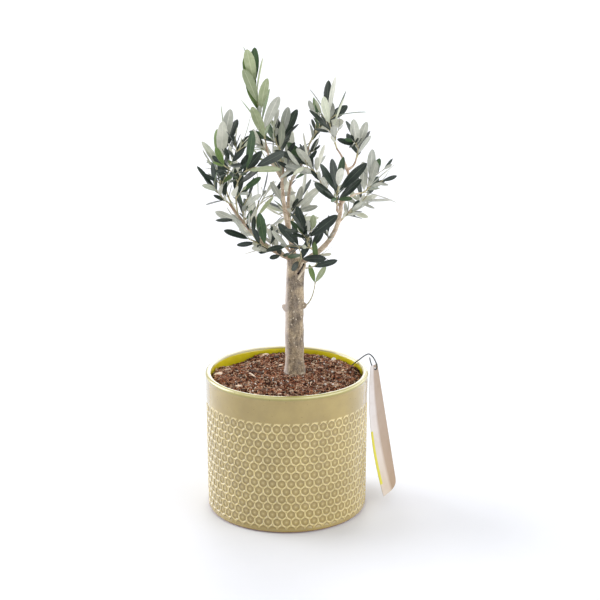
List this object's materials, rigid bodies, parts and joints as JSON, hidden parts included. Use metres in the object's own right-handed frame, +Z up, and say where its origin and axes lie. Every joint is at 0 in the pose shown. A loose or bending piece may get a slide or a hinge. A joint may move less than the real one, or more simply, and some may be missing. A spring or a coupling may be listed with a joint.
{
  "type": "potted olive tree",
  "caption": "Young olive tree with a bare trunk and an open crown of slim grey-green leaves, in a round glazed pot with a blank swing tag.",
  "frame": {"origin": "centre of the pot's flat underside", "axes": "+Z up along the trunk, +X to the right and -Y to the front, with the swing tag on the +X side"},
  "size_m": [0.1811, 0.1589, 0.4255],
  "materials": {
    "pot": "glossy khaki glaze with a raised honeycomb",
    "soil": "coarse brown compost with bark chips and white perlite",
    "bark": "grey-brown bark with pale lenticels",
    "bough_bark": "smooth tan young bark",
    "foliage": "leathery leaves, dark green above and silver-grey below",
    "tag": "matt cream card with a lime stripe down one edge",
    "wire": "dark green coated wire"
  },
  "bodies": {
    "root": {"bough_centre": "bough_bark", "bough_centre_twin": "bough_bark", "bough_fork_left": "bough_bark", "bough_fork_right": "bough_bark", "bough_front_right": "bough_bark", "bough_inner_right": "bough_bark", "bough_left": "bough_bark", "bough_left_upper": "bough_bark", "bough_mid": "bough_bark", "bough_right": "bough_bark", "bough_right_low": "bough_bark", "bough_right_side": "bough_bark", "bough_right_top": "bough_bark", "bough_tall": "bough_bark", "bough_upper_right": "bough_bark", "foliage_back": "foliage", "foliage_centre_back": "foliage", "foliage_front": "foliage", "foliage_front_right": "foliage", "foliage_inner_right": "foliage", "foliage_left_back": "foliage", "foliage_left_inner": "foliage", "foliage_left_low": "foliage", "foliage_left_mid": "foliage", "foliage_left_tip": "foliage", "foliage_left_upper": "foliage", "foliage_left_upright": "foliage", "foliage_low_front_right": "foliage", "foliage_low_right": "foliage", "foliage_mid": "foliage", "foliage_right_low": "foliage", "foliage_right_side": "foliage", "foliage_right_top": "foliage", "foliage_right_upper": "foliage", "foliage_side_shoot": "foliage", "foliage_tall": "foliage", "foliage_upper_right": "foliage", "pot": "pot", "soil": "soil", "tag": "tag", "tag_wire": "wire", "trunk": "bark"}
  },
  "joints": []
}
